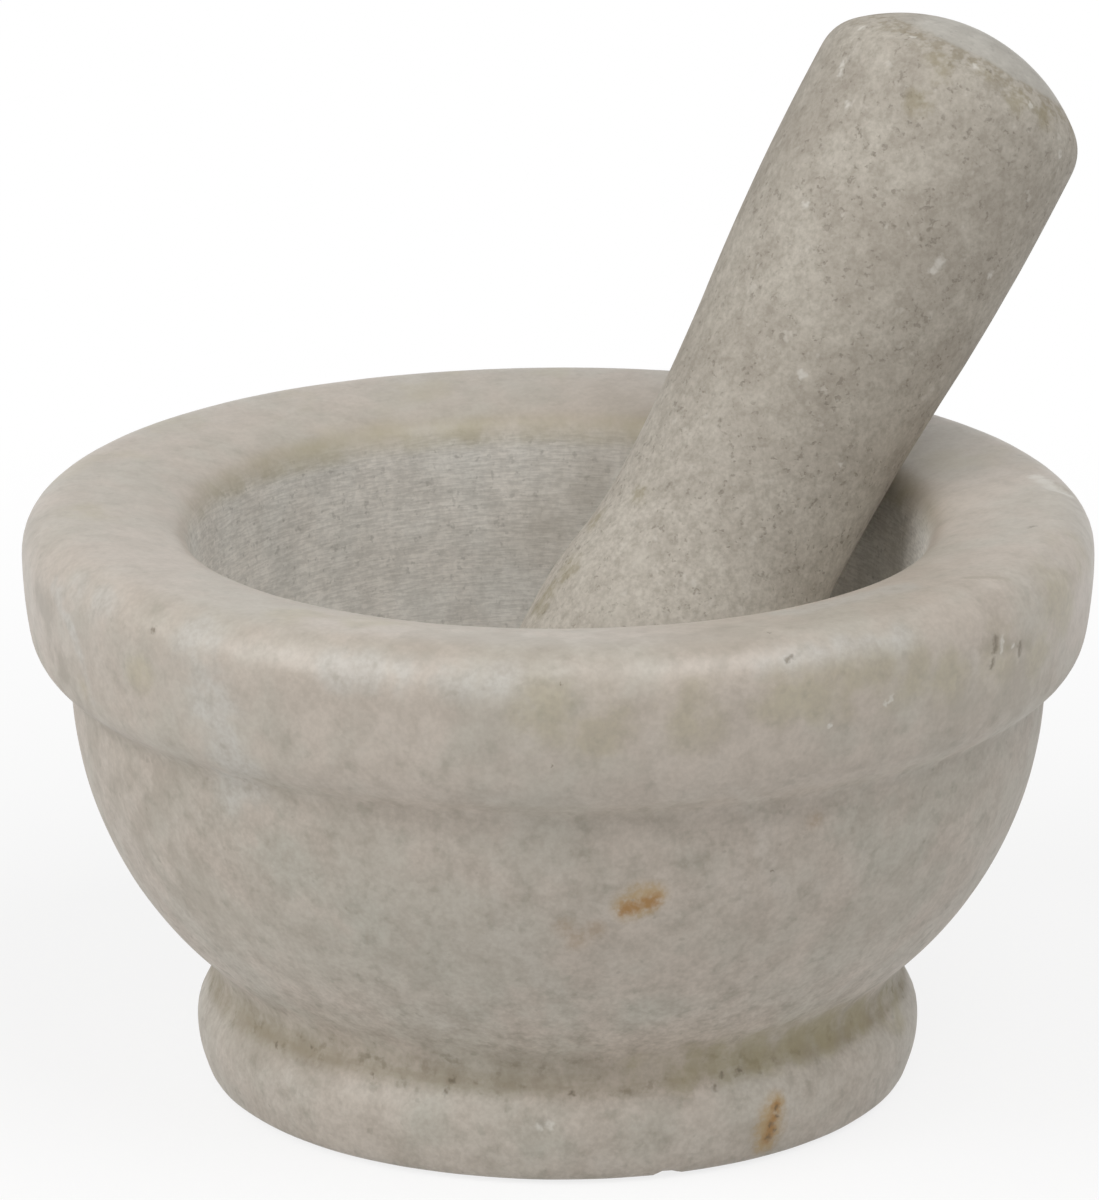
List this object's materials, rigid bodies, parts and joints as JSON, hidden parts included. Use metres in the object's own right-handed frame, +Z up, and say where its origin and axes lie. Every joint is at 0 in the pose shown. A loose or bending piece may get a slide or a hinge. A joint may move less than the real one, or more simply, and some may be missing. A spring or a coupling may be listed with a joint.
{
  "type": "mortar and pestle",
  "caption": "Turned stone mortar on a low foot with a thick rounded rim and a round hollow, and the loose waisted pestle that leans in it for crushing and grinding.",
  "frame": {"origin": "centre of the flat underside of the bowl's foot", "axes": "+Z up along the bowl's turning axis, +X towards the side that the pestle leans to"},
  "size_m": [0.1358, 0.13, 0.1263],
  "materials": {
    "bowl_stone": "honed, fine-grained warm grey stone with paler clouds",
    "pestle_stone": "dull, fine-grained grey-brown stone with dark specks and white flecks"
  },
  "bodies": {
    "bowl": {"mortar_bowl": "bowl_stone"},
    "pestle": {"pestle": "pestle_stone"}
  },
  "joints": [
    {"name": "pestle_lift", "type": "slide", "parent": "bowl", "child": "pestle", "axis": [0, 0, 1], "range_m": [0, 0.065]}
  ]
}
